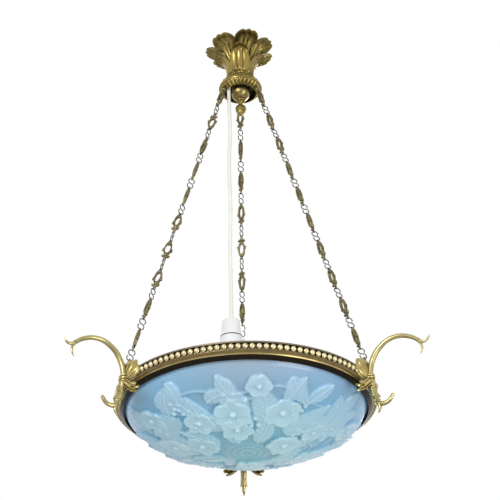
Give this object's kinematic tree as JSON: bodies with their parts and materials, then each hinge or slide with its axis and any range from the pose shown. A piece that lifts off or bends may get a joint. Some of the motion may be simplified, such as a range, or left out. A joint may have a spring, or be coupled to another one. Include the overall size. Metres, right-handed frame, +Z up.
{
  "type": "hanging dish light",
  "caption": "Ceiling light: a shallow moulded glass bowl in a beaded bronze ring, hung on openwork chains below a flower-cup canopy, with a bayonet lampholder on a flex.",
  "frame": {"origin": "centre of the ceiling plate's upper face, on the ceiling", "axes": "+Z up into the ceiling, +X to the right seen from the front, +Y away from the viewer"},
  "size_m": [0.5887, 0.5668, 0.8799],
  "materials": {
    "gilt_bronze": "aged gilt",
    "dark_bronze": "aged satin",
    "hardware_steel": "satin",
    "plate_steel": "satin paint",
    "contact_brass": "plain",
    "opal_glass": "moulded opalescent",
    "bulb_glass": "pearl",
    "white_plastic": "gloss",
    "flex_sheath": "matt",
    "black_rubber": "matt",
    "felt": "felt"
  },
  "bodies": {
    "ceiling": {"ceiling_plate": "plate_steel", "ceiling_hook": "hardware_steel"},
    "link": {"hanging_link": "hardware_steel"},
    "hub": {"eye_nut": "dark_bronze", "stem": "hardware_steel", "canopy_collar": "gilt_bronze", "hub_cap": "gilt_bronze", "hub_skirt": "gilt_bronze", "hub_spacer": "hardware_steel", "hub_ball": "gilt_bronze", "finial_nut": "gilt_bronze", "hub_eyes": "dark_bronze", "flex_inner": "flex_sheath", "flex_grommet": "black_rubber", "terminal_block": "white_plastic"},
    "canopy_cup": {"canopy": "gilt_bronze"},
    "dish_ring": {"rim_ring": "gilt_bronze", "bead_band": "gilt_bronze", "seat_gasket": "felt", "chain_eyes": "dark_bronze", "arm_screws": "hardware_steel", "arm_left": "gilt_bronze", "arm_right": "gilt_bronze", "arm_back": "gilt_bronze", "bow_left": "gilt_bronze", "bow_right": "gilt_bronze", "bow_back": "gilt_bronze"},
    "glass": {"glass_dish": "opal_glass"},
    "lampholder": {"flex_cord": "flex_sheath", "holder_cap": "white_plastic", "holder_band": "black_rubber", "holder_body": "white_plastic", "contact_block": "white_plastic", "bayonet_sleeve": "contact_brass"},
    "lamp_ring": {"shade_ring": "white_plastic"},
    "plungers": {"contact_plungers": "contact_brass"},
    "bulb": {"bulb_cap": "contact_brass", "bulb_glass": "bulb_glass"},
    "chain_left": {"cast_links_left": "dark_bronze", "s_hooks_left": "dark_bronze"},
    "chain_right": {"cast_links_right": "dark_bronze", "s_hooks_right": "dark_bronze"},
    "chain_back": {"cast_links_back": "dark_bronze", "s_hooks_back": "dark_bronze"}
  },
  "joints": [
    {"name": "link_swing", "type": "hinge", "parent": "ceiling", "child": "link", "pos_m": [0, 0, -0.03], "axis": [0, 1, 0], "range_deg": [-5, 5]},
    {"name": "light_swing", "type": "hinge", "parent": "link", "child": "hub", "pos_m": [0, 0, -0.0452], "axis": [1, 0, 0], "range_deg": [-5, 5]},
    {"name": "canopy_lift", "type": "slide", "parent": "hub", "child": "canopy_cup", "axis": [0, 0, 1], "range_m": [0, 0.006]},
    {"name": "dish_swing", "type": "hinge", "parent": "hub", "child": "dish_ring", "pos_m": [0, 0, 0.0078], "axis": [1, 0, 0], "range_deg": [-3.5, 3.5]},
    {"name": "glass_lift", "type": "slide", "parent": "dish_ring", "child": "glass", "axis": [0, 0, 1], "range_m": [0, 0.025]},
    {"name": "flex_swing", "type": "hinge", "parent": "hub", "child": "lampholder", "pos_m": [-0.023, -0.01102, -0.118], "axis": [1, 0, 0], "range_deg": [-4, 4]},
    {"name": "shade_ring_turn", "type": "hinge", "parent": "lampholder", "child": "lamp_ring", "pos_m": [-0.023, -0.01102, -0.7], "axis": [0, 0, 1], "range_deg": [-170, 170]},
    {"name": "bulb_push", "type": "slide", "parent": "lampholder", "child": "plungers", "axis": [0, 0, 1], "range_m": [0, 0.0025], "stiffness_N_per_m": 800, "springref_m": -0.005},
    {"name": "bulb_turn", "type": "hinge", "parent": "plungers", "child": "bulb", "pos_m": [-0.023, -0.01102, -0.69], "axis": [0, 0, 1], "range_deg": [0, 18]},
    {"name": "chain_left_swing", "type": "hinge", "parent": "hub", "child": "chain_left", "pos_m": [-0.03387, -0.02076, -0.1281], "axis": [1, 0, 0], "range_deg": [-4.3, 4.3]},
    {"name": "chain_right_swing", "type": "hinge", "parent": "hub", "child": "chain_right", "pos_m": [0.03491, -0.01895, -0.1281], "axis": [1, 0, 0], "range_deg": [-4.3, 4.3]},
    {"name": "chain_back_swing", "type": "hinge", "parent": "hub", "child": "chain_back", "pos_m": [-0.00104, 0.03972, -0.1281], "axis": [1, 0, 0], "range_deg": [-4.3, 4.3]}
  ],
  "couplings": [
    {"joint": "chain_left_swing", "follows": "dish_swing", "ratio": 1.215},
    {"joint": "chain_right_swing", "follows": "dish_swing", "ratio": 1.215},
    {"joint": "chain_back_swing", "follows": "dish_swing", "ratio": 1.215}
  ]
}
